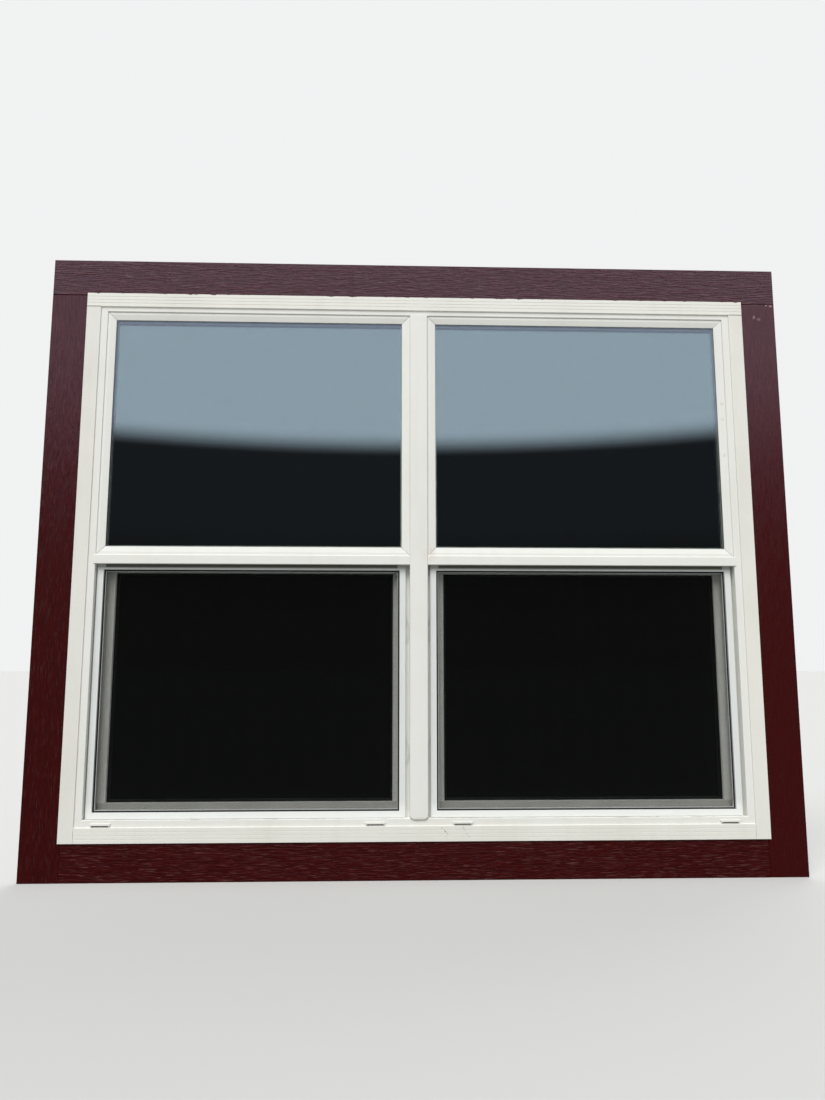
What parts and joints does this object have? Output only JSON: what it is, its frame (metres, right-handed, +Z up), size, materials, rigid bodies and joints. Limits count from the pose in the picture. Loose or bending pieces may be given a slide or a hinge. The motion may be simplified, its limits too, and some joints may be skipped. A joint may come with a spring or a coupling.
{
  "type": "sash window",
  "caption": "White vinyl twin single-hung window with fixed upper lites, sliding lower sashes, half insect screens, white trim strips and dark red casing boards.",
  "frame": {"origin": "middle of the sill's bearing face, the underside of the frame behind the nailing fin, under the centre of the mullion", "axes": "+Z up, +X to the right seen from outdoors, +Y from outdoors towards the room"},
  "size_m": [1.768, 0.088, 1.451],
  "materials": {
    "white_vinyl": "smooth white vinyl, satin",
    "white_strip": "white trim strip, satin",
    "red_board": "embossed board, dark red paint",
    "glass": "clear float glass with a low-emissivity coat",
    "spacer_bar": "mill finish, dulled",
    "screen_frame": "white enamel on rolled aluminium",
    "insect_mesh": "coated glass fibre yarn",
    "black_spline": "ribbed cord",
    "spring_steel": "bright spring steel",
    "seal": "grey pile and bulb seal",
    "block_rubber": "black setting block",
    "lock_casting": "white enamel on a zinc casting",
    "plated_steel": "zinc plated",
    "balance_tube": "white plastic tube"
  },
  "bodies": {
    "frame": {"balance_tubes": "balance_tube", "casing_bottom": "red_board", "casing_head": "red_board", "casing_left": "red_board", "casing_right": "red_board", "centre_mullion": "white_vinyl", "keeper_screws": "plated_steel", "left_keeper": "lock_casting", "left_meeting_rail": "white_vinyl", "left_screen_bars": "screen_frame", "left_screen_mesh": "insect_mesh", "left_upper_beads": "white_vinyl", "left_upper_panes": "glass", "main_frame": "white_vinyl", "meeting_rail_seals": "seal", "mullion_cap": "white_vinyl", "right_keeper": "lock_casting", "right_meeting_rail": "white_vinyl", "right_screen_bars": "screen_frame", "right_screen_mesh": "insect_mesh", "right_upper_beads": "white_vinyl", "right_upper_panes": "glass", "screen_corner_keys": "screen_frame", "screen_splines": "black_spline", "screen_springs": "spring_steel", "setting_blocks": "block_rubber", "trim_head": "white_strip", "trim_left": "white_strip", "trim_right": "white_strip", "trim_sill": "white_strip", "tube_screws": "plated_steel", "upper_spacers": "spacer_bar", "weep_covers": "white_vinyl"},
    "left_sash": {"left_balance_rods": "plated_steel", "left_lock_base": "lock_casting", "left_rod_brackets": "plated_steel", "left_sash_beads": "white_vinyl", "left_sash_bottom_rail": "white_vinyl", "left_sash_left_stile": "white_vinyl", "left_sash_panes": "glass", "left_sash_right_stile": "white_vinyl", "left_sash_screws": "plated_steel", "left_sash_seals": "seal", "left_sash_spacer": "spacer_bar", "left_sash_top_rail": "white_vinyl"},
    "right_sash": {"right_balance_rods": "plated_steel", "right_lock_base": "lock_casting", "right_rod_brackets": "plated_steel", "right_sash_beads": "white_vinyl", "right_sash_bottom_rail": "white_vinyl", "right_sash_left_stile": "white_vinyl", "right_sash_panes": "glass", "right_sash_right_stile": "white_vinyl", "right_sash_screws": "plated_steel", "right_sash_seals": "seal", "right_sash_spacer": "spacer_bar", "right_sash_top_rail": "white_vinyl"},
    "left_lock": {"left_lock_lever": "lock_casting"},
    "right_lock": {"right_lock_lever": "lock_casting"}
  },
  "joints": [
    {"name": "left_sash_slide", "type": "slide", "parent": "frame", "child": "left_sash", "axis": [0, 0, 1], "range_m": [0, 0.52]},
    {"name": "right_sash_slide", "type": "slide", "parent": "frame", "child": "right_sash", "axis": [0, 0, 1], "range_m": [0, 0.52]},
    {"name": "left_lock_turn", "type": "hinge", "parent": "left_sash", "child": "left_lock", "pos_m": [-0.38525, -0.004, 0.645], "axis": [0, 0, 1], "range_deg": [0, 180]},
    {"name": "right_lock_turn", "type": "hinge", "parent": "right_sash", "child": "right_lock", "pos_m": [0.38525, -0.004, 0.645], "axis": [0, 0, 1], "range_deg": [0, 180]}
  ]
}
